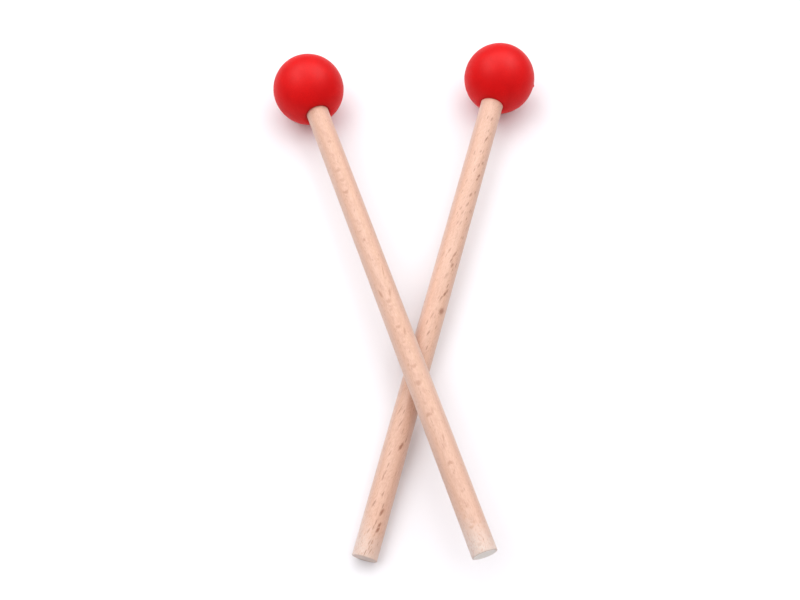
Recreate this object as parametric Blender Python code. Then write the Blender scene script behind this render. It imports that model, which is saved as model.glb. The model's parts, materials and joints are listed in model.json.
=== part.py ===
"""A pair of ball-headed percussion mallets, laid down crossed as a player leaves them.

The right mallet lies on the ground: its ball and the edge of its butt both touch. The left
mallet lies across it, on its own ball and on the right handle. The heads point towards +Y and
the origin is under the middle of the pair. Each mallet is a rubber ball with a blind socket, a
turned wooden handle in that socket, and the pad of hardened glue at the socket's floor.
Metres, +Z up.
"""

from math import acos, asin, atan2, cos, hypot, pi, radians, sin

import bmesh
import bpy
from mathutils import Vector

# The ball and its socket. Places along a mallet are measured from the ball's centre, and are
# positive towards the butt.
BALL_RADIUS = 0.016
SOCKET_DEPTH = 0.020
MOUTH_CHAMFER = 0.0004

# The handle, a plain dowel.
HANDLE_RADIUS = 0.005
HANDLE_REACH = 0.2255
BUTT_CHAMFER = 0.0003
INNER_CHAMFER = 0.0008

# Glue between the handle's inner end and the socket's floor, and the clearance all pieces keep.
GLUE_THICKNESS = 0.0012
FIT_GAP = 0.0003

# How the pair lies, seen from above: the distance between the balls across and along the pair,
# and how far each handle turns in from straight back.
HEAD_SPACING = 0.0872
HEAD_STAGGER = 0.0061
RIGHT_HEADING = radians(-15.22)
LEFT_HEADING = radians(18.90)

# Facets of the turned pieces.
BALL_SEGMENTS = 48
BALL_RINGS = 24
HANDLE_SEGMENTS = 32
SHARP_ANGLE = radians(30)

SOCKET_RADIUS = HANDLE_RADIUS + FIT_GAP
MOUTH_RADIUS = SOCKET_RADIUS + MOUTH_CHAMFER
MOUTH_PLACE = (BALL_RADIUS**2 - MOUTH_RADIUS**2) ** 0.5
SOCKET_FLOOR = MOUTH_PLACE - SOCKET_DEPTH
GLUE_START = SOCKET_FLOOR + FIT_GAP
GLUE_END = GLUE_START + GLUE_THICKNESS
HANDLE_START = GLUE_END + FIT_GAP


def clear_scene():
    """Remove every object, so that the model is all the scene holds."""
    for obj in list(bpy.data.objects):
        bpy.data.objects.remove(obj, do_unlink=True)


def finish(name, colour, roughness):
    """A plain non-metal surface."""
    material = bpy.data.materials.new(name)
    material.use_nodes = True
    shader = material.node_tree.nodes["Principled BSDF"]
    shader.inputs["Base Color"].default_value = (*colour, 1.0)
    shader.inputs["Roughness"].default_value = roughness
    shader.inputs["Metallic"].default_value = 0.0
    material.diffuse_color = (*colour, 1.0)
    return material


def ball_profile():
    """Half section of a head, as (radius, place): the ball, its mouth and its socket."""
    mouth_angle = acos(MOUTH_PLACE / BALL_RADIUS)
    outline = []
    for ring in range(BALL_RINGS + 1):
        angle = pi + (mouth_angle - pi) * ring / BALL_RINGS
        outline.append((BALL_RADIUS * sin(angle), BALL_RADIUS * cos(angle)))
    outline.append((SOCKET_RADIUS, MOUTH_PLACE - MOUTH_CHAMFER))
    outline.append((SOCKET_RADIUS, SOCKET_FLOOR))
    outline.append((0.0, SOCKET_FLOOR))
    return outline


def rod_profile(radius, start, end, start_chamfer, end_chamfer):
    """Half section of a solid round rod with its end edges broken."""
    return [
        (0.0, start),
        (radius - start_chamfer, start),
        (radius, start + start_chamfer),
        (radius, end - end_chamfer),
        (radius - end_chamfer, end),
        (0.0, end),
    ]


def turned_piece(name, profile, segments, material, parent):
    """Spin a half section once round the mallet's axis, local +Z, into a closed solid."""
    shape = bmesh.new()
    corners = [shape.verts.new((0.0, radius, place)) for radius, place in profile]
    edges = [shape.edges.new(pair) for pair in zip(corners, corners[1:])]
    bmesh.ops.spin(
        shape,
        geom=corners + edges,
        cent=(0.0, 0.0, 0.0),
        axis=(0.0, 0.0, 1.0),
        angle=2.0 * pi,
        steps=segments,
    )
    bmesh.ops.remove_doubles(shape, verts=shape.verts, dist=1e-6)
    bmesh.ops.recalc_face_normals(shape, faces=shape.faces)
    mesh = bpy.data.meshes.new(name)
    shape.to_mesh(mesh)
    shape.free()
    mesh.shade_smooth()
    mesh.set_sharp_from_angle(angle=SHARP_ANGLE)
    mesh.materials.append(material)
    piece = bpy.data.objects.new(name, mesh)
    piece.parent = parent
    bpy.context.collection.objects.link(piece)
    return piece


def direction(heading, slope):
    """Unit vector from a ball towards its butt. A positive slope raises the butt."""
    return Vector((sin(heading) * cos(slope), -cos(heading) * cos(slope), sin(slope)))


def grounded_slope():
    """Slope of a mallet that touches the ground with its ball and with its butt's edge."""
    reach = HANDLE_REACH - BUTT_CHAMFER
    return atan2(HANDLE_RADIUS, reach) - asin(BALL_RADIUS / hypot(HANDLE_RADIUS, reach))


def axis_distance(centre_a, way_a, centre_b, way_b):
    """Height of axis b over axis a where they cross, square to both."""
    return (centre_b - centre_a).dot(way_a.cross(way_b).normalized())


def leaning_slope(own_centre, other_centre, other_way):
    """Slope of the upper mallet, whose handle just clears the handle under it."""
    wanted = 2.0 * HANDLE_RADIUS + FIT_GAP
    low, high = radians(0.0), radians(5.0)
    while high - low > 1e-9:
        slope = (low + high) / 2.0
        way = direction(LEFT_HEADING, slope)
        if axis_distance(other_centre, other_way, own_centre, way) < wanted:
            low = slope
        else:
            high = slope
    return high


def mallet_frame(name, centre, way):
    """Empty at a ball's centre, with its local +Z along the handle."""
    frame = bpy.data.objects.new(name, None)
    frame.empty_display_size = BALL_RADIUS
    frame.rotation_mode = "QUATERNION"
    frame.location = centre
    frame.rotation_quaternion = way.to_track_quat("Z", "Y")
    bpy.context.collection.objects.link(frame)
    return frame


def build_mallet(side, frame, rubber, wood, glue):
    """The three pieces of one mallet, all turned round the same axis."""
    handle = rod_profile(HANDLE_RADIUS, HANDLE_START, HANDLE_REACH, INNER_CHAMFER, BUTT_CHAMFER)
    pad_radius = SOCKET_RADIUS - FIT_GAP
    pad = rod_profile(pad_radius, GLUE_START, GLUE_END, FIT_GAP, FIT_GAP)
    return [
        turned_piece(f"{side}_mallet_head", ball_profile(), BALL_SEGMENTS, rubber, frame),
        turned_piece(f"{side}_mallet_handle", handle, HANDLE_SEGMENTS, wood, frame),
        turned_piece(f"{side}_mallet_glue", pad, HANDLE_SEGMENTS, glue, frame),
    ]


def world_corners(pieces):
    """Lowest and highest corner of the box round all the pieces."""
    points = [piece.matrix_world @ vertex.co for piece in pieces for vertex in piece.data.vertices]
    low = Vector([min(point[axis] for point in points) for axis in range(3)])
    high = Vector([max(point[axis] for point in points) for axis in range(3)])
    return low, high


def stand_on_origin(frames, pieces):
    """Shift the pair so that the bottom centre of its box is the origin."""
    bpy.context.view_layer.update()
    low, high = world_corners(pieces)
    shift = Vector(((low.x + high.x) / 2.0, (low.y + high.y) / 2.0, low.z))
    for frame in frames:
        frame.location -= shift
    bpy.context.view_layer.update()


def main():
    clear_scene()
    rubber = finish("red_rubber", (0.60, 0.012, 0.014), 0.42)
    wood = finish("pale_beech", (0.83, 0.58, 0.40), 0.55)
    glue = finish("dried_glue", (0.72, 0.55, 0.30), 0.35)

    right_centre = Vector((HEAD_SPACING / 2.0, 0.0, BALL_RADIUS))
    left_centre = Vector((-HEAD_SPACING / 2.0, -HEAD_STAGGER, BALL_RADIUS))
    right_way = direction(RIGHT_HEADING, grounded_slope())
    left_way = direction(LEFT_HEADING, leaning_slope(left_centre, right_centre, right_way))

    right_frame = mallet_frame("right_mallet", right_centre, right_way)
    left_frame = mallet_frame("left_mallet", left_centre, left_way)
    pieces = build_mallet("right", right_frame, rubber, wood, glue)
    pieces += build_mallet("left", left_frame, rubber, wood, glue)
    stand_on_origin([right_frame, left_frame], pieces)


main()
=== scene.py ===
"""The look of a crossed pair of percussion mallets: red rubber balls on pale beech handles.

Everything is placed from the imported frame. Each mallet has local axes of its own, with the
origin at its ball's centre and +Z along the handle towards the butt, and every shape and grain
pattern is made in those axes. Lengths are in metres unless a name ends in MM.
"""

import json
from dataclasses import dataclass
from math import asin, cos, exp, pi, radians, sin

import bpy
from mathutils import Matrix, Vector, noise


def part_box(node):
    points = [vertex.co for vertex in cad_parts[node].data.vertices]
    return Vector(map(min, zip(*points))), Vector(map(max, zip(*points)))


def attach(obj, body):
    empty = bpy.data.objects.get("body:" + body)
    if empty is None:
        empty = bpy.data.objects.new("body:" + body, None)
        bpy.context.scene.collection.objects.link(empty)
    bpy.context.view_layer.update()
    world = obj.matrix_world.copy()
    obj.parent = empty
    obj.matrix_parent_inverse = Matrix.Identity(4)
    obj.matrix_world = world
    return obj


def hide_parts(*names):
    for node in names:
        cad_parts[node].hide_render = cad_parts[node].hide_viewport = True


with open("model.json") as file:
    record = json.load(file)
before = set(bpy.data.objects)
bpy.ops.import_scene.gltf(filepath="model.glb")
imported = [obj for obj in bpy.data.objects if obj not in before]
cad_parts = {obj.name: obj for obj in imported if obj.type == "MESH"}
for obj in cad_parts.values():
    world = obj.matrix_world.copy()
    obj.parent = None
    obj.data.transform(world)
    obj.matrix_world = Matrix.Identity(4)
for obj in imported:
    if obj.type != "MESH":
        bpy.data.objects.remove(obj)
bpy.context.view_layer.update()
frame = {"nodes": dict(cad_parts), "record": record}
RECORD = frame["record"]
MM = 0.001
WHITE = (1.0, 1.0, 1.0, 1.0)

# Camera: a 50 mm lens looking down and forward along +Y.
VIEW_ELEVATION = radians(64.17)
VIEW_DISTANCE = 0.4782
VIEW_TARGET = Vector((-0.0019, -0.0026, 0.0))
LENS = 50.0
SENSOR = 36.0

# The visible ball: its mouth hugs the handle in a shallow dish, and a moulding flash runs round
# it in a plane through the handle's axis. Its socket leaves room for the glue under the handle.
MOUTH_SLACK = 0.06 * MM
LIP_RADIUS = 0.22 * MM
DISH_WIDTH = 2.3 * MM
SOCKET_SPARE = 2.0 * MM
FLASH_HEIGHT = 0.045 * MM
FLASH_HALF_WIDTH = 0.13 * MM
FLASH_COLUMNS_MM = (0.0, 0.07, 0.14, 0.22, 0.34, 0.6, 1.0)
GATE_LENGTH = 0.75 * MM
GATE_WIDTH = 0.42 * MM
BALL_UNEVENNESS = 0.035 * MM

# The visible handle.
EDGE_RADIUS = 0.28 * MM
DOWEL_UNEVENNESS = 0.018 * MM
END_GRAIN_RELIEF = 0.02 * MM
# A band of painted shading along each handle.
SHADING_BAND_HALF_WIDTH_MM = 2.0
SHADING_BAND_RUNS_OUT_MM = (150.0, 195.0)


# ---------------------------------------------------------------- the mallets' own axes


@dataclass
class Mallet:
    """One mallet as the frame gives it, and what sets its look apart."""

    side: str
    centre: Vector
    way: Vector
    radius: float
    handle_radius: float
    reach: float
    handle_start: float
    seed: float
    gate_height: float
    gate_angle: float
    dish_depth: float
    # How strongly shade is painted on the rubber round the mouth.
    mouth_shade_strength: float

    @property
    def body(self):
        return f"{self.side}_mallet"

    @property
    def socket_radius(self):
        return self.handle_radius + MOUTH_SLACK

    @property
    def mouth_angle(self):
        """Angle at the ball's centre from the handle's axis to the edge of the mouth."""
        return asin((self.socket_radius + LIP_RADIUS) / self.radius)

    @property
    def mouth_place(self):
        """Where along the handle the mouth lies."""
        return self.radius * cos(self.mouth_angle) - self.dish_depth

    def axes(self):
        """Local to world, with +Z along the handle and +Y up."""
        turn = self.way.to_track_quat("Z", "Y").to_matrix().to_4x4()
        return Matrix.Translation(self.centre) @ turn


def measure(side, **ball):
    """Reads one mallet's axis, ball and handle from the frame, and adds its ball's own marks."""
    butt = next(m for m in RECORD["mounts"] if m["name"] == f"{side}_butt")
    end, way = Vector(butt["pos_m"]), Vector(butt["axis"]).normalized()
    low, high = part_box(f"{side}_mallet_head")
    reach = (end - (low + high) / 2.0).dot(way)
    centre = end - way * reach
    along, across = [], []
    for vertex in frame["nodes"][f"{side}_mallet_handle"].data.vertices:
        offset = vertex.co - centre
        along.append(offset.dot(way))
        across.append((offset - way * along[-1]).length)
    return Mallet(side, centre, way, (high.x - low.x) / 2.0, max(across), reach, min(along), **ball)


# ---------------------------------------------------------------- mesh making


def make_object(name, points, faces, to_world, materials, face_slots=None):
    """A smooth-shaded mesh object whose place is in its vertices."""
    mesh = bpy.data.meshes.new(name)
    mesh.from_pydata([to_world @ Vector(point) for point in points], [], faces)
    for material in materials:
        mesh.materials.append(material)
    if face_slots:
        mesh.polygons.foreach_set("material_index", face_slots)
    mesh.shade_smooth()
    mesh.validate()
    obj = bpy.data.objects.new(name, mesh)
    bpy.context.scene.collection.objects.link(obj)
    return obj


def skin(rings, columns):
    """Quads between successive rings, with a fan to a single point at each end."""
    faces = []
    for ring in range(rings - 1):
        for column in range(columns):
            beside = (column + 1) % columns
            here, above = ring * columns, (ring + 1) * columns
            faces.append((here + column, here + beside, above + beside, above + column))
    first, last = rings * columns, rings * columns + 1
    top = (rings - 1) * columns
    for column in range(columns):
        beside = (column + 1) % columns
        faces.append((first, beside, column))
        faces.append((last, top + column, top + beside))
    return faces


def frange(start, stop, steps):
    """Evenly spaced values, both ends included."""
    return [start + (stop - start) * step / steps for step in range(steps + 1)]


def wander(point, size, seed):
    """Smooth noise from -1 to 1 with features of the given size."""
    return noise.noise(Vector(point) / size + Vector((seed, seed * 1.7, -seed)))


# ---------------------------------------------------------------- heads


def ball_columns(ring_radius):
    """Angles round one ring of a ball: close together at the flash, even between."""
    widest = FLASH_COLUMNS_MM[-1] * MM
    scale = min(1.0, 0.55 * ring_radius / widest)
    shares = [place * MM * scale / max(ring_radius, 1e-6) for place in FLASH_COLUMNS_MM]
    fine = [asin(min(1.0, share)) for share in shares]
    between = frange(fine[-1], pi - fine[-1], 34)[1:-1]
    half = fine + between + [pi - angle for angle in reversed(fine)]
    return half + [angle + pi for angle in half[1:-1]]


def ball_rings(mouth_angle):
    """Angles from the far pole to the mouth, closer together round the gate mark."""
    gate = pi / 2.0
    near = radians(7.0)
    rings = frange(pi - radians(1.5), gate + near, 40)
    rings += frange(gate + near, gate - near, 34)[1:]
    rings += frange(gate - near, mouth_angle + 2.0 * near, 24)[1:]
    rings += frange(mouth_angle + 2.0 * near, mouth_angle, 18)[1:]
    return rings


def ball_height(mallet, direction, ring_radius):
    """How far the moulded ball stands proud of a true sphere in one direction."""
    point = direction * mallet.radius
    height = BALL_UNEVENNESS * wander(point, 9.0 * MM, mallet.seed)
    trim = 0.65 + 0.35 * wander(point, 1.6 * MM, mallet.seed + 5.0)
    fade = min(1.0, ring_radius / (2.0 * MM))
    height += FLASH_HEIGHT * trim * fade * exp(-((point.y / FLASH_HALF_WIDTH) ** 2))
    gate = Vector((cos(mallet.gate_angle), sin(mallet.gate_angle), 0.0)) * mallet.radius
    offset = point - gate
    spread = (offset.y / GATE_WIDTH) ** 2 + (offset.z / GATE_LENGTH) ** 2 + (offset.x / MM) ** 2
    return height + mallet.gate_height * exp(-spread)


def ball_points(mallet):
    """The outside of a ball, ring by ring from its far pole to the dish round its mouth."""
    points = []
    for polar in ball_rings(mallet.mouth_angle):
        ring_radius = mallet.radius * sin(polar)
        rise = min(1.0, (ring_radius - mallet.socket_radius - LIP_RADIUS) / DISH_WIDTH)
        sunk = mallet.dish_depth * (1.0 - rise) ** 2 if polar < pi / 2.0 else 0.0
        for turn in ball_columns(ring_radius):
            direction = Vector((sin(polar) * cos(turn), sin(polar) * sin(turn), cos(polar)))
            point = direction * (mallet.radius + ball_height(mallet, direction, ring_radius))
            point.z -= sunk
            points.append(point)
    return points


def socket_section(mallet, floor):
    """Rings as (radius, place) over the rounded lip and down the socket's wall to its floor."""
    rings = []
    for angle in frange(radians(20.0), radians(90.0), 5):
        overhang = LIP_RADIUS * (1.0 - sin(angle))
        inset = LIP_RADIUS * (1.0 - cos(angle))
        rings.append((mallet.socket_radius + overhang, mallet.mouth_place - inset))
    for place in frange(mallet.mouth_place - 1.5 * MM, floor, 6):
        rings.append((mallet.socket_radius, place))
    rings.append((mallet.socket_radius * 0.5, floor))
    return rings


def make_head(mallet, rubber):
    """A moulded ball with its flash line, gate mark, soft lip and socket, in one closed skin."""
    points = ball_points(mallet)
    floor = mallet.handle_start - SOCKET_SPARE
    turns = ball_columns(mallet.radius)
    for radius, place in socket_section(mallet, floor):
        points += [Vector((radius * cos(turn), radius * sin(turn), place)) for turn in turns]
    faces = skin(len(points) // len(turns), len(turns))
    points += [Vector((0.0, 0.0, -mallet.radius)), Vector((0.0, 0.0, floor))]
    head = make_object(f"{mallet.side}_ball", points, faces, mallet.axes(), [rubber])
    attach(head, mallet.body)
    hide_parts(f"{mallet.side}_mallet_head")
    return head


# ---------------------------------------------------------------- handles


def handle_section(mallet):
    """Rings along a handle as (nominal radius, place, is end grain)."""
    radius, start, end = mallet.handle_radius, mallet.handle_start, mallet.reach
    rings = [(radius * share, start, True) for share in (0.3, 0.6, 0.82)]
    rings += [(radius, start + 0.9 * MM, False)]
    rings += [(radius, place, False) for place in frange(start + 2.0 * MM, end - EDGE_RADIUS, 260)]
    for angle in frange(0.0, pi / 2.0, 5)[1:]:
        inset = EDGE_RADIUS * (1.0 - cos(angle))
        rings.append((radius - inset, end - EDGE_RADIUS * (1.0 - sin(angle)), False))
    rings += [((radius - EDGE_RADIUS) * share, end, True) for share in (0.94, 0.8, 0.62, 0.42, 0.2)]
    return rings


def make_handle(mallet, wood, end_grain):
    """A sanded dowel: not quite round or straight, with softened, slightly worn end edges."""
    columns = 96
    points = []
    section = handle_section(mallet)
    for radius, place, is_end in section:
        for column in range(columns):
            turn = 2.0 * pi * column / columns
            spot = Vector((radius * cos(turn), radius * sin(turn), place))
            if is_end:
                spot.z += END_GRAIN_RELIEF * wander(spot, 0.9 * MM, mallet.seed)
            else:
                stretched = Vector((spot.x, spot.y, spot.z / 8.0))
                proud = DOWEL_UNEVENNESS * wander(stretched, 3.0 * MM, mallet.seed)
                spot.x += proud * cos(turn)
                spot.y += proud * sin(turn)
            points.append(spot)
    slots = []
    for (_, _, here_is_end), (_, _, next_is_end) in zip(section, section[1:]):
        slots += [1 if here_is_end and next_is_end else 0] * columns
    slots += [1, 1] * columns
    faces = skin(len(section), columns)
    points += [Vector((0.0, 0.0, mallet.handle_start)), Vector((0.0, 0.0, mallet.reach))]
    woods = [wood, end_grain]
    handle = make_object(f"{mallet.side}_dowel", points, faces, mallet.axes(), woods, slots)
    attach(handle, mallet.body)
    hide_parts(f"{mallet.side}_mallet_handle")
    return handle


# ---------------------------------------------------------------- material building blocks


class Nodes:
    """Short calls for building one material's node tree. Textures work in millimetres."""

    def __init__(self, name):
        self.material = bpy.data.materials.new(name)
        self.material.use_nodes = True
        self.tree = self.material.node_tree
        self.shader = self.tree.nodes["Principled BSDF"]

    def add(self, kind, values=None, **settings):
        """A node with its settings, and with its inputs set or linked by name or number."""
        node = self.tree.nodes.new(kind)
        for key, value in settings.items():
            setattr(node, key, value)
        for key, value in (values or {}).items():
            self.feed(node.inputs[key], value)
        return node

    def feed(self, socket, value):
        """Links a socket to an output, or sets its value."""
        if isinstance(value, bpy.types.NodeSocket):
            self.tree.links.new(value, socket)
        else:
            socket.default_value = value

    def math(self, operation, a, b=0.0, c=0.0):
        return self.add("ShaderNodeMath", {0: a, 1: b, 2: c}, operation=operation).outputs[0]

    def vector(self, operation, a, b=(0.0, 0.0, 0.0)):
        node = self.add("ShaderNodeVectorMath", {0: a, 1: b}, operation=operation)
        return node.outputs["Value" if operation in ("LENGTH", "DISTANCE", "DOT_PRODUCT") else 0]

    def noise(self, where, scale, detail=3.0, roughness=0.55):
        values = {"Vector": where, "Scale": scale, "Detail": detail, "Roughness": roughness}
        return self.add("ShaderNodeTexNoise", values).outputs["Fac"]

    def streaks(self, where, per_mm, detail=2.0, roughness=0.55):
        """Noise stretched along the grain, with a separate fineness along each axis."""
        return self.noise(self.vector("MULTIPLY", where, per_mm), 1.0, detail, roughness)

    def span(self, value, low, high, to_low=0.0, to_high=1.0, smooth=True):
        """Maps low..high to to_low..to_high, held at both ends."""
        kind = "SMOOTHSTEP" if smooth else "LINEAR"
        values = {0: value, 1: low, 2: high, 3: to_low, 4: to_high}
        return self.add("ShaderNodeMapRange", values, interpolation_type=kind).outputs[0]

    def mix(self, share, a, b):
        node = self.add("ShaderNodeMix", data_type="RGBA")
        for index, value in ((0, share), (6, a), (7, b)):
            self.feed(node.inputs[index], value)
        return node.outputs[2]

    def curve(self, value, points):
        """Follows a smooth curve through (value, result) points, held at both ends."""
        start, stop = points[0][0], points[-1][0]
        low = min(result for _, result in points)
        high = max(result for _, result in points)
        share = self.span(value, start, stop, smooth=False)
        node = self.add("ShaderNodeFloatCurve", {"Value": share})
        curve = node.mapping.curves[0]
        places = []
        for at, result in points:
            places.append(((at - start) / (stop - start), (result - low) / (high - low)))
        curve.points[0].location = places[0]
        curve.points[-1].location = places[-1]
        for place in places[1:-1]:
            curve.points.new(*place)
        for point in curve.points:
            point.handle_type = "AUTO_CLAMPED"
        node.mapping.update()
        return self.math("MULTIPLY_ADD", node.outputs[0], high - low, low)

    def local_mm(self, axes):
        """Millimetres in a mallet's own axes."""
        place, turn, _ = axes.decompose()
        values = {"Location": place, "Rotation": turn.to_euler(), "Scale": (MM, MM, MM)}
        coordinates = self.add("ShaderNodeTexCoord").outputs["Object"]
        values["Vector"] = coordinates
        return self.add("ShaderNodeMapping", values, vector_type="TEXTURE").outputs[0]

    def twist(self, where, along, degrees_per_mm):
        """Turns the pattern steadily round the handle, as spiral grain does."""
        angle = self.math("MULTIPLY", along, radians(-degrees_per_mm))
        values = {"Vector": where, "Angle": angle}
        return self.add("ShaderNodeVectorRotate", values, rotation_type="Z_AXIS").outputs[0]

    def finish(self, colour, roughness, height, depth):
        """Feeds the shader. Height runs over 0..1 and stands for depth in metres."""
        self.feed(self.shader.inputs["Base Color"], colour)
        self.feed(self.shader.inputs["Roughness"], roughness)
        bump = self.add("ShaderNodeBump", {"Height": height, "Distance": depth, "Strength": 1.0})
        self.feed(self.shader.inputs["Normal"], bump.outputs[0])
        return self.material


# ---------------------------------------------------------------- materials


RUBBER = {
    "deep": (0.65, 0.0050, 0.0060, 1.0),
    "bright": (0.71, 0.0065, 0.0070, 1.0),
    "mottled": (0.60, 0.0045, 0.0055, 1.0),
    "flash": (0.36, 0.005, 0.007, 1.0),
    # Painted shade: the darker colour of the rubber round the mouth.
    "rim": (0.36, 0.008, 0.010, 1.0),
    "dust": (0.75, 0.20, 0.18, 1.0),
}
GLUE = {
    "amber": (0.70, 0.50, 0.22, 1.0),
    "honey": (0.80, 0.66, 0.40, 1.0),
    "bubble": (0.9, 0.82, 0.62, 1.0),
}


def red_rubber(mallet):
    """Semi-matte moulded rubber: soft mottling, micro-texture, a faint line at the flash and, as
    painted shade, a darker rim round the mouth."""
    n = Nodes(f"{mallet.side}_red_rubber")
    where = n.local_mm(mallet.axes())
    shifted = n.vector("ADD", where, (mallet.seed * 7.0,) * 3)
    cloud = n.noise(shifted, 0.16, 3.0)
    mottle = n.noise(shifted, 1.4, 4.0, 0.6)
    grain = n.noise(shifted, 7.0, 2.0)
    red = n.mix(n.span(cloud, 0.35, 0.65), RUBBER["deep"], RUBBER["bright"])
    red = n.mix(n.span(mottle, 0.3, 0.7, 0.0, 0.5), red, RUBBER["mottled"])
    _, off_plane, along = n.add("ShaderNodeSeparateXYZ", {0: where}).outputs
    line = n.span(n.math("ABSOLUTE", off_plane), 0.05, 0.22, 1.0, 0.0)
    red = n.mix(n.math("MULTIPLY", line, 0.25), red, RUBBER["flash"])
    # Painted shade: the rubber is darkened in a ring round the mouth, where the handle shades the
    # ball.
    aside = n.vector("LENGTH", n.vector("MULTIPLY", where, (1.0, 1.0, 0.0)))
    mouth = mallet.handle_radius / MM
    rim = n.span(aside, mouth + 0.2, mouth + 1.5, mallet.mouth_shade_strength, 0.0)
    rim = n.math("MULTIPLY", rim, n.math("GREATER_THAN", along, 0.0))
    red = n.mix(rim, red, RUBBER["rim"])
    specks = n.add("ShaderNodeTexVoronoi", {"Vector": shifted, "Scale": 0.8, "Randomness": 1.0})
    dust = n.span(specks.outputs["Distance"], 0.05, 0.085, 1.0, 0.0)
    red = n.mix(n.math("MULTIPLY", dust, 0.12), red, RUBBER["dust"])
    roughness = n.span(mottle, 0.3, 0.7, 0.42, 0.50)
    n.shader.inputs["Specular IOR Level"].default_value = 0.09
    height = n.math("MULTIPLY_ADD", mottle, 0.5, n.math("MULTIPLY", grain, 0.5))
    return n.finish(red, roughness, height, 0.020 * MM)


def beech(mallet, look):
    """Unfinished beech along the handle: growth rings, fibres, a soft band of painted shading,
    rays, dark marks, a paler butt, paler sides as painted sheen and painted red bounce light beside
    the ball."""
    n = Nodes(f"{mallet.side}_beech")
    where = n.local_mm(mallet.axes())
    shifted = n.vector("ADD", where, (0.0, 0.0, mallet.seed * 31.0))
    across, up, along = n.add("ShaderNodeSeparateXYZ", {0: where}).outputs
    spiral = look["spiral"]
    fibre = n.streaks(shifted, (3.6, 3.6, 0.16), 3.0, 0.6)
    strand = n.streaks(shifted, (1.5, 1.5, 0.05))

    patch = n.streaks(shifted, (0.16, 0.16, 0.022))
    wood = n.mix(n.span(patch, 0.35, 0.65), look["pale"], look["warm"])
    rings = ring_figure(n, mallet, look, shifted, (across, up, along))
    wood = n.mix(rings, wood, look["ring_colour"])
    for texture, low, high in ((fibre, 0.40, 0.72), (strand, 0.42, 0.66)):
        shown = n.span(texture, low, high, 0.0, look["fibre_strength"])
        wood = n.mix(shown, wood, look["fibre_colour"])
    # Painted shading: a band that darkens the left handle and lightens the right, moving the light
    # across the handle.
    shading_band = painted_shading_band(n, look, (across, along))
    wood = n.vector("MULTIPLY", wood, n.mix(shading_band, WHITE, look["shading_band_tint"]))
    wood = pale_butt_and_side_sheen(n, mallet, look, shifted, (across, along), wood)
    wood = fine_dashes(n, look, n.twist(where, along, spiral), wood)
    rays = ray_flecks(n, mallet, look, n.twist(where, along, spiral * 0.5), across)
    wood = n.mix(rays, wood, look["ray_colour"])
    marks = wood_marks(n, mallet, look, n.twist(where, along, spiral))
    wood = n.mix(marks, wood, look["mark_colour"])
    # Painted light: the red light the ball bounces onto the wood beside its mouth.
    mouth = mallet.mouth_place / MM
    red_bounce = n.span(along, mouth - 0.3, mouth + 1.5, look["red_bounce_strength"], 0.0)
    wood = n.mix(red_bounce, wood, look["red_bounce_colour"])

    n.shader.inputs["Sheen Weight"].default_value = 0.35
    n.shader.inputs["Sheen Roughness"].default_value = 0.45
    roughness = n.span(fibre, 0.3, 0.7, 0.52, 0.66)
    height = n.math("MULTIPLY_ADD", fibre, 0.45, n.math("MULTIPLY", strand, 0.2))
    height = n.math("MULTIPLY_ADD", rays, -0.35, height)
    return n.finish(wood, roughness, n.math("ADD", height, 0.35), 0.05 * MM)


def ring_figure(n, mallet, look, shifted, parts):
    """Growth rings crossing the surface. Rings count up through the handle and drift along it,
    so each shows as an arc whose tip lies where the drift passes a whole number."""
    across, up, along = parts
    drift = n.curve(along, look["drift"])
    height = n.math("SUBTRACT", up, mallet.handle_radius / MM)
    sway = n.streaks(shifted, (0.5, 0.5, 0.22), 3.0, 0.6)
    count = n.math("MULTIPLY_ADD", height, 1.0 / look["ring_mm"], drift)
    count = n.math("MULTIPLY_ADD", sway, look["sway"], count)
    ring = n.math("FRACT", count)
    late = n.math("MULTIPLY", n.span(ring, 0.25, 0.70), n.span(ring, 0.75, 1.0, 1.0, 0.0))
    aside = n.math("ABSOLUTE", n.math("SUBTRACT", across, look["crown_mm"]))
    crown = n.span(aside, 0.8, 2.6, 1.0, look["side_share"])
    broken = n.span(n.streaks(shifted, (0.9, 0.9, 0.5)), 0.38, 0.58, 0.3, 1.0)
    strength = n.math("MULTIPLY", n.math("MULTIPLY", late, crown), broken)
    return n.math("MULTIPLY", strength, look["ring_strength"])


def painted_shading_band(n, look, parts):
    """A soft band along the handle for painted shading, which runs out near the butt."""
    across, along = parts
    aside = n.math("ABSOLUTE", n.math("SUBTRACT", across, look["shading_band_mm"]))
    running = n.span(along, *SHADING_BAND_RUNS_OUT_MM, 1.0, 0.0)
    return n.math("MULTIPLY", n.span(aside, 0.0, SHADING_BAND_HALF_WIDTH_MM, 1.0, 0.0), running)


def pale_butt_and_side_sheen(n, mallet, look, shifted, parts, wood):
    """The wood turns paler towards its cut end, and its two sides are paler as painted sheen, more
    so near the end.
    """
    across, along = parts
    end = mallet.reach / MM
    # Paler towards the cut end, along a ragged edge that leans across the handle.
    edge = n.math("MULTIPLY_ADD", n.noise(shifted, 0.35, 2.0), 10.0, along)
    edge = n.math("MULTIPLY_ADD", across, -look["end_paling_lean"], edge)
    end_pale = n.span(edge, end - 13.0, end + 8.0, 0.0, look["end_paling"])
    wood = n.mix(end_pale, wood, look["end_paling_colour"])
    # Painted sheen: both sides of the handle are paler, as where light grazes them.
    left, right = look["side_sheen"]
    left_sheen = n.span(across, -4.9, -2.6, left, 0.0)
    right_sheen = n.span(across, 2.6, 4.9, 0.0, right)
    side = n.math("MULTIPLY", n.math("ADD", left_sheen, right_sheen), n.math("ADD", 1.0, end_pale))
    return n.mix(side, wood, look["side_sheen_colour"])


def fine_dashes(n, look, slanted, wood):
    """The short light and dark dashes that make up the texture of the surface."""
    dashes = n.streaks(n.vector("ADD", slanted, (9.0, 9.0, 9.0)), (2.4, 2.4, 0.7), 2.0, 0.6)
    strength = look["dash_strength"]
    wood = n.mix(n.span(dashes, 0.50, 0.72, 0.0, strength), wood, look["fibre_colour"])
    return n.mix(n.span(dashes, 0.28, 0.48, strength, 0.0), wood, look["pale"])


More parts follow.
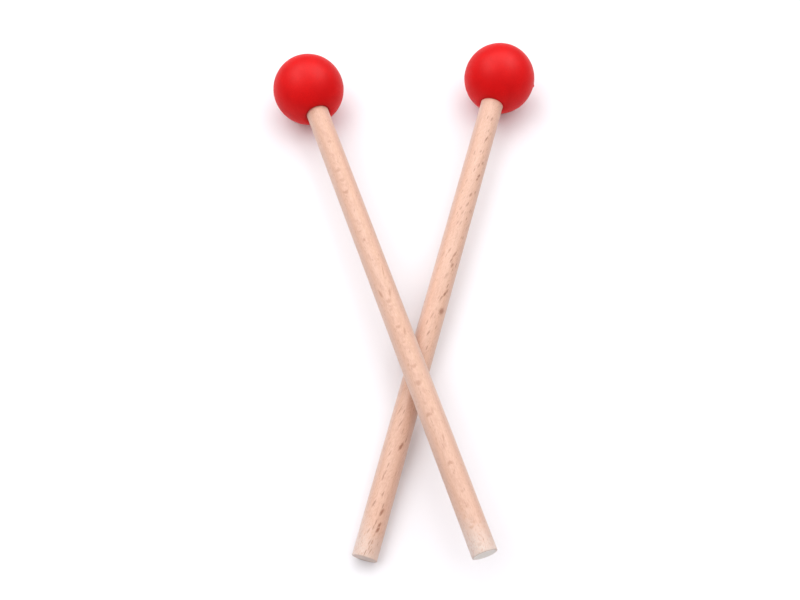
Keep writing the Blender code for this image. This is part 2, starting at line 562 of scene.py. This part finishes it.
def ray_flecks(n, mallet, look, slanted, across):
    """Wood rays: thin sheets that show as short dashes along the grain."""
    moved = n.vector("ADD", slanted, (0.0, 0.0, mallet.seed * 31.0))
    stretched = n.vector("DIVIDE", moved, look["ray_cell_mm"])
    cells = n.add("ShaderNodeTexVoronoi", {"Vector": stretched, "Scale": 1.0, "Randomness": 1.0})
    dash = n.span(cells.outputs["Distance"], look["ray_size"], look["ray_size"] * 2.0, 1.0, 0.0)
    chance = n.add("ShaderNodeSeparateColor", {0: cells.outputs["Color"]}).outputs["Red"]
    kept = n.span(chance, look["ray_share"], 1.0)
    crowd = n.span(across, look["ray_from_mm"], look["ray_from_mm"] + 2.5, 0.3, 1.0)
    strength = n.math("MULTIPLY", n.math("MULTIPLY", dash, kept), crowd)
    return n.math("MULTIPLY", strength, look["ray_strength"])


def wood_marks(n, mallet, look, where):
    """The larger dark marks, each with a ragged edge."""
    ragged = n.math("MULTIPLY", n.noise(where, 2.0, 3.0), 0.9)
    total = 0.0
    for mark in look["marks"]:
        angle = radians(mark.turn - look["spiral"] * mark.place)
        values = {"Vector": where, "Angle": -angle}
        faced = n.add("ShaderNodeVectorRotate", values, rotation_type="Z_AXIS").outputs[0]
        offset = n.vector("SUBTRACT", faced, (mallet.handle_radius / MM, 0.0, mark.place))
        if mark.slant or mark.bend:
            out, aside, along = n.add("ShaderNodeSeparateXYZ", {0: offset}).outputs
            bent = n.math("MULTIPLY_ADD", n.math("MULTIPLY", aside, aside), mark.bend, along)
            leant = n.math("MULTIPLY_ADD", along, -mark.slant, aside)
            offset = n.add("ShaderNodeCombineXYZ", {0: out, 1: leant, 2: bent}).outputs[0]
        offset = n.vector("DIVIDE", offset, (2.0, mark.width / 2.0, mark.length / 2.0))
        away = n.math("ADD", n.vector("LENGTH", offset), ragged)
        total = n.math("MAXIMUM", total, n.span(away, 0.7, 1.7, mark.strength, 0.0))
    return total


def beech_end(mallet, look):
    """Cut end: growth rings crossed by fine rays and open pores."""
    n = Nodes(f"{mallet.side}_end_grain")
    where = n.local_mm(mallet.axes())
    flat = n.vector("MULTIPLY", where, (1.0, 1.0, 0.0))
    across, up, _ = n.add("ShaderNodeSeparateXYZ", {0: flat}).outputs
    bend = n.math("MULTIPLY", n.math("MULTIPLY", across, across), 0.02)
    depth = n.math("MULTIPLY_ADD", n.noise(flat, 0.3, 2.0), 1.2, n.math("ADD", up, bend))
    ring = n.math("FRACT", n.math("DIVIDE", depth, look["end_ring_mm"]))
    late = n.math("MULTIPLY", n.span(ring, 0.4, 0.92), n.span(ring, 0.93, 1.0, 1.0, 0.0))
    rays = n.streaks(flat, (5.0, 0.45, 1.0))
    pores = n.add("ShaderNodeTexVoronoi", {"Vector": flat, "Scale": 6.0, "Randomness": 1.0})
    pore = n.span(pores.outputs["Distance"], 0.12, 0.3, 1.0, 0.0)
    wood = n.mix(n.math("MULTIPLY", late, 0.35), look["end_colour"], look["end_dark"])
    wood = n.mix(n.span(rays, 0.5, 0.75, 0.0, 0.35), wood, look["end_dark"])
    wood = n.mix(n.math("MULTIPLY", pore, 0.3), wood, look["end_dark"])
    radius = mallet.handle_radius / MM
    rim = n.span(n.vector("LENGTH", flat), radius - 0.7, radius - 0.25)
    wood = n.mix(n.math("MULTIPLY", rim, 0.5), wood, look["end_rim"])
    roughness = n.span(rays, 0.3, 0.7, 0.72, 0.85)
    height = n.math("MULTIPLY_ADD", pore, -0.5, n.math("MULTIPLY_ADD", rays, 0.4, 0.5))
    return n.finish(wood, roughness, height, 0.06 * MM)


def dried_glue(mallet):
    """Hardened wood glue, honey-coloured, with small bubbles."""
    n = Nodes(f"{mallet.side}_dried_glue")
    where = n.local_mm(mallet.axes())
    cloud = n.noise(where, 0.5, 3.0)
    bubbles = n.add("ShaderNodeTexVoronoi", {"Vector": where, "Scale": 1.1, "Randomness": 1.0})
    bubble = n.span(bubbles.outputs["Distance"], 0.1, 0.2, 1.0, 0.0)
    colour = n.mix(n.span(cloud, 0.3, 0.7), GLUE["amber"], GLUE["honey"])
    colour = n.mix(n.math("MULTIPLY", bubble, 0.5), colour, GLUE["bubble"])
    roughness = n.span(cloud, 0.3, 0.7, 0.28, 0.42)
    return n.finish(colour, roughness, n.math("SUBTRACT", 1.0, bubble), 0.05 * MM)


# ---------------------------------------------------------------- the two mallets


RIGHT_BALL = {
    "seed": 1.3,
    "gate_height": 0.32 * MM,
    "gate_angle": 0.0,
    "dish_depth": 0.35 * MM,
    # Painted shade round the mouth.
    "mouth_shade_strength": 0.40,
}
LEFT_BALL = {
    "seed": 4.1,
    "gate_height": -0.18 * MM,
    "gate_angle": pi,
    "dish_depth": 0.90 * MM,
    # Painted shade round the mouth.
    "mouth_shade_strength": 0.65,
}


@dataclass(frozen=True)
class Mark:
    """A dark mark in the wood: its place along the handle and its turn round it in degrees, then
    its length and width in millimetres. The slant is how far it drifts aside for each millimetre
    along, and the bend is how far back its sides lie for each square millimetre aside."""

    place: float
    turn: float
    length: float
    width: float
    strength: float
    slant: float = 0.0
    bend: float = 0.0


SHARED_WOOD = {
    "pale": (0.680, 0.418, 0.310, 1.0),
    "warm": (0.661, 0.387, 0.275, 1.0),
    "ring_colour": (0.491, 0.244, 0.160, 1.0),
    "fibre_colour": (0.567, 0.314, 0.222, 1.0),
    "ray_colour": (0.39, 0.182, 0.118, 1.0),
    # Paler wood towards the cut end.
    "end_paling_colour": (0.680, 0.560, 0.500, 1.0),
    # Painted sheen along the handle's sides.
    "side_sheen_colour": (0.700, 0.570, 0.530, 1.0),
    # Painted red bounce light from the ball, on the wood beside the mouth.
    "red_bounce_colour": (0.92, 0.48, 0.37, 1.0),
    "red_bounce_strength": 0.85,
    "end_rim": (0.36, 0.27, 0.21, 1.0),
    "end_ring_mm": 1.8,
}

LEFT_WOOD = SHARED_WOOD | {
    "drift": (
        (-4.0, 3.0), (20.0, 1.4), (34.0, 0.0), (49.5, -1.0), (54.5, -2.0), (61.0, -3.0),
        (73.0, -4.0), (82.0, -5.0), (91.0, -6.0), (102.0, -7.0), (117.0, -8.0), (121.5, -9.0),
        (129.0, -10.0), (136.0, -11.0), (142.0, -12.0), (148.0, -13.0), (154.5, -14.0),
        (160.5, -14.5), (165.0, -14.0), (169.0, -13.0), (179.0, -12.0), (189.5, -11.0),
        (196.0, -10.6), (202.0, -11.0), (208.0, -12.0), (215.0, -13.0), (223.0, -14.0),
    ),
    "ring_mm": 1.2,
    "sway": 0.7,
    "crown_mm": -0.9,
    "side_share": 0.10,
    "ring_strength": 0.42,
    "fibre_strength": 0.26,
    "dash_strength": 0.80,
    "spiral": 0.0,
    "ray_cell_mm": (0.8, 0.8, 2.4),
    "ray_size": 0.16,
    "ray_share": 0.45,
    "ray_from_mm": -4.0,
    "ray_strength": 0.45,
    "end_paling": 1.0,
    "end_paling_lean": 0.8,
    # Painted sheen on the two sides.
    "side_sheen": (0.30, 0.20),
    # Painted shade: a darker band along this handle.
    "shading_band_mm": 1.1,
    "shading_band_tint": (0.953, 0.932, 0.884, 1.0),
    "end_colour": (0.92, 0.86, 0.81, 1.0),
    "end_dark": (0.68, 0.57, 0.49, 1.0),
    "mark_colour": (0.45, 0.212, 0.128, 1.0),
    "marks": (
        Mark(34.0, 92.0, 2.0, 2.4, 0.50, bend=0.2),
        Mark(49.6, 104.0, 2.0, 3.0, 0.62, bend=0.15),
        Mark(55.0, 101.0, 2.4, 3.0, 0.50, bend=0.3),
        Mark(61.3, 105.0, 2.0, 3.2, 0.74, bend=0.5),
        Mark(76.5, 106.0, 0.9, 1.8, 0.25, bend=0.5),
        Mark(81.8, 109.0, 1.1, 2.0, 0.48, bend=0.5),
        Mark(86.2, 104.0, 1.5, 1.2, 0.66),
        Mark(97.0, 74.0, 2.0, 1.0, 0.35, slant=0.15),
        Mark(103.0, 73.0, 7.0, 0.7, 0.70, slant=0.14),
        Mark(113.2, 79.0, 4.6, 1.1, 0.80, slant=0.22),
        Mark(112.5, 123.0, 5.0, 1.1, 0.80, slant=-0.18),
        Mark(117.0, 99.0, 2.4, 3.0, 0.55, bend=0.35),
        Mark(120.9, 103.0, 1.6, 1.6, 0.40, bend=0.3),
        Mark(129.2, 98.0, 1.8, 2.4, 0.60, bend=0.45),
        Mark(131.8, 79.0, 4.2, 1.1, 0.75, slant=0.2),
        Mark(136.3, 100.0, 1.2, 2.6, 0.34, bend=0.4),
        Mark(146.0, 118.0, 1.6, 1.2, 0.50, slant=0.2),
        Mark(147.6, 97.0, 1.9, 3.6, 0.55, bend=0.5),
        Mark(154.8, 103.0, 2.8, 3.2, 0.60, bend=0.3),
        Mark(163.6, 108.0, 1.8, 1.6, 0.35),
        Mark(167.6, 90.0, 3.4, 1.0, 0.40, slant=0.1),
        Mark(168.4, 111.0, 1.9, 2.8, 0.65, bend=-0.3),
        Mark(179.4, 87.0, 4.0, 0.9, 0.70, slant=0.2),
        Mark(189.4, 98.0, 1.9, 3.0, 0.65, bend=-0.5),
        Mark(201.5, 92.0, 1.4, 1.6, 0.35, bend=0.3),
        Mark(207.5, 98.0, 1.8, 2.6, 0.25, bend=0.35),
        Mark(213.8, 97.0, 1.2, 2.4, 0.26, bend=0.3),
        Mark(215.4, 110.0, 1.6, 2.2, 0.45, bend=0.4),
        Mark(222.4, 103.0, 1.4, 2.0, 0.34, bend=0.3),
    ),
}

RIGHT_WOOD = SHARED_WOOD | {
    "drift": ((-4.0, 1.2), (60.0, 0.0), (140.0, 1.6), (225.0, 0.4)),
    "ring_mm": 1.1,
    "sway": 1.0,
    "crown_mm": 0.0,
    "side_share": 0.8,
    "ring_strength": 0.22,
    "fibre_strength": 0.38,
    "dash_strength": 0.95,
    "spiral": 3.2,
    "ray_cell_mm": (0.85, 0.85, 4.6),
    "ray_size": 0.17,
    "ray_share": 0.30,
    "ray_from_mm": -3.5,
    "ray_strength": 0.85,
    "end_paling": 0.75,
    "end_paling_lean": 1.2,
    # Painted sheen on the two sides.
    "side_sheen": (0.45, 0.05),
    # Painted light: a lighter band along this handle.
    "shading_band_mm": 2.9,
    "shading_band_tint": (1.09, 1.12, 1.12, 1.0),
    "end_colour": (0.72, 0.58, 0.52, 1.0),
    "end_dark": (0.50, 0.36, 0.30, 1.0),
    "mark_colour": (0.335, 0.135, 0.076, 1.0),
    "marks": (
        Mark(25.0, 65.0, 3.0, 0.9, 0.70),
        Mark(32.0, 48.0, 2.6, 1.1, 0.36),
        Mark(35.5, 64.0, 3.6, 0.9, 0.90),
        Mark(42.5, 75.0, 1.8, 0.9, 0.62),
        Mark(47.5, 47.0, 2.2, 1.2, 0.68),
        Mark(50.0, 66.0, 2.2, 0.9, 0.40),
        Mark(54.0, 48.0, 2.4, 1.3, 0.93),
        Mark(56.0, 53.0, 2.2, 1.1, 0.75),
        Mark(62.3, 43.0, 2.2, 0.9, 0.51),
        Mark(64.5, 65.0, 3.0, 1.1, 0.77),
        Mark(69.5, 68.0, 3.4, 0.9, 0.59),
        Mark(72.0, 94.0, 2.4, 0.8, 0.51),
        Mark(74.0, 81.0, 3.0, 0.8, 0.47),
        Mark(85.0, 42.0, 2.0, 1.3, 0.40),
        Mark(92.8, 92.0, 3.2, 0.8, 0.59),
        Mark(94.0, 62.0, 4.0, 0.9, 0.70),
        Mark(97.0, 70.0, 3.2, 0.9, 0.75),
        Mark(99.0, 58.0, 2.8, 1.1, 0.81),
        Mark(104.5, 74.0, 4.0, 0.9, 0.45),
        Mark(111.0, 48.0, 2.8, 1.1, 0.70),
        Mark(112.5, 55.0, 3.0, 1.2, 0.96),
        Mark(115.0, 68.0, 3.4, 0.9, 0.68),
        Mark(120.3, 47.0, 3.8, 2.8, 0.86),
        Mark(123.5, 88.0, 3.6, 0.8, 0.54),
        Mark(131.5, 82.0, 3.0, 0.9, 0.75),
        Mark(166.0, 112.0, 4.5, 0.7, 0.56),
        Mark(171.5, 92.0, 4.5, 0.7, 0.56),
        Mark(184.5, 104.0, 3.4, 0.7, 0.51),
        Mark(180.5, 62.0, 4.2, 1.4, 1.00),
        Mark(192.5, 100.0, 3.4, 0.7, 0.56),
        Mark(201.0, 87.0, 1.4, 1.0, 0.34),
        Mark(205.0, 111.0, 3.6, 0.9, 0.70),
        Mark(207.5, 66.0, 3.6, 1.4, 1.00),
        Mark(212.5, 60.0, 2.6, 1.3, 0.95),
        Mark(214.5, 62.0, 2.8, 1.4, 1.00),
        Mark(215.8, 101.0, 3.0, 0.7, 0.51),
        Mark(219.8, 82.0, 2.6, 0.9, 0.42),
        Mark(222.8, 68.0, 3.0, 0.7, 0.51),
    ),
}


# ---------------------------------------------------------------- studio


def make_camera():
    """The viewing angle: above and behind the butts, looking towards the heads."""
    back = Vector((0.0, -cos(VIEW_ELEVATION), sin(VIEW_ELEVATION)))
    data = bpy.data.cameras.new("camera")
    data.lens, data.sensor_width = LENS, SENSOR
    data.clip_start, data.clip_end = 0.01, 50.0
    camera = bpy.data.objects.new("camera", data)
    camera.location = VIEW_TARGET + back * VIEW_DISTANCE
    camera.rotation_euler = (pi / 2.0 - VIEW_ELEVATION, 0.0, 0.0)
    bpy.context.scene.collection.objects.link(camera)
    bpy.context.scene.camera = camera


# Softboxes round the mallets as (azimuth, tilt from overhead, side in metres, watts). Azimuth 0 is
# +Y and 90 is +X. The fills only light surfaces and the sheens only show as soft reflections.
LIGHT_DISTANCE = 1.3
FILLS = (
    (0.0, 0.0, 1.6, 5.4),
    (0.0, 28.0, 0.9, 5.4),
    (90.0, 28.0, 0.9, 3.2),
    (270.0, 28.0, 0.9, 4.8),
    (45.0, 55.0, 0.9, 4.1),
    (90.0, 55.0, 0.9, 2.0),
    (135.0, 55.0, 0.9, 1.9),
    (180.0, 55.0, 0.9, 0.8),
    (225.0, 55.0, 0.9, 1.5),
    (270.0, 55.0, 0.9, 2.3),
    (315.0, 55.0, 0.9, 4.6),
)
SHEENS = (
    (290.0, 35.0, 0.45, 8.0),
    (55.0, 36.0, 0.45, 8.0),
    (320.0, 50.0, 0.45, 5.0),
    (35.0, 50.0, 0.45, 5.0),
    (0.0, 40.0, 0.9, 10.5),
)
SKY_LIGHT = 0.02
SKY_SEEN = 1.0
FLOOR_RADIUS = 0.38
FLOOR_COLOUR = (0.877, 0.862, 0.892, 1.0)


def softbox(name, azimuth, tilt, size, power, shines):
    """A square panel of even light aimed at the mallets."""
    azimuth, tilt = radians(azimuth), radians(tilt)
    towards = Vector((sin(azimuth) * sin(tilt), cos(azimuth) * sin(tilt), cos(tilt)))
    data = bpy.data.lights.new(name, "AREA")
    data.shape, data.size, data.energy = "SQUARE", size, power
    lamp = bpy.data.objects.new(name, data)
    lamp.location = towards * LIGHT_DISTANCE
    lamp.rotation_euler = towards.to_track_quat("Z", "Y").to_euler()
    lamp.visible_camera = False
    lamp.visible_glossy = shines
    lamp.visible_diffuse = not shines
    bpy.context.scene.collection.objects.link(lamp)


def make_sky():
    """White where it is seen past the floor's edge, and a faint even light from all round."""
    world = bpy.data.worlds.new("studio")
    world.use_nodes = True
    tree = world.node_tree
    background = tree.nodes["Background"]
    background.inputs["Color"].default_value = WHITE
    seen = tree.nodes.new("ShaderNodeLightPath").outputs["Is Camera Ray"]
    level = tree.nodes.new("ShaderNodeMapRange")
    level.inputs["To Min"].default_value = SKY_LIGHT
    level.inputs["To Max"].default_value = SKY_SEEN
    tree.links.new(seen, level.inputs["Value"])
    tree.links.new(level.outputs[0], background.inputs["Strength"])
    bpy.context.scene.world = world


def make_studio():
    """A round white floor under a dome of softboxes."""
    turns = frange(0.0, 2.0 * pi, 96)[:-1]
    edge = [(FLOOR_RADIUS * cos(turn), FLOOR_RADIUS * sin(turn), 0.0) for turn in turns]
    n = Nodes("white_floor")
    n.shader.inputs["Base Color"].default_value = FLOOR_COLOUR
    n.shader.inputs["Roughness"].default_value = 0.9
    n.shader.inputs["Specular IOR Level"].default_value = 0.1
    floor = make_object("floor", edge, [tuple(range(len(edge)))], Matrix.Identity(4), [n.material])
    make_sky()
    for number, panel in enumerate(FILLS):
        softbox(f"fill_{number}", *panel, shines=False)
    for number, panel in enumerate(SHEENS):
        softbox(f"sheen_{number}", *panel, shines=True)
    view = bpy.context.scene.view_settings
    view.view_transform, view.look, view.exposure, view.gamma = "Standard", "None", 0.0, 1.0


# ---------------------------------------------------------------- assembly


def main():
    make_camera()
    for side, ball, wood in (("right", RIGHT_BALL, RIGHT_WOOD), ("left", LEFT_BALL, LEFT_WOOD)):
        mallet = measure(side, **ball)
        make_head(mallet, red_rubber(mallet))
        make_handle(mallet, beech(mallet, wood), beech_end(mallet, wood))
        glue = frame["nodes"][f"{mallet.side}_mallet_glue"]
        glue.data.materials.clear()
        glue.data.materials.append(dried_glue(mallet))
    make_studio()


main()
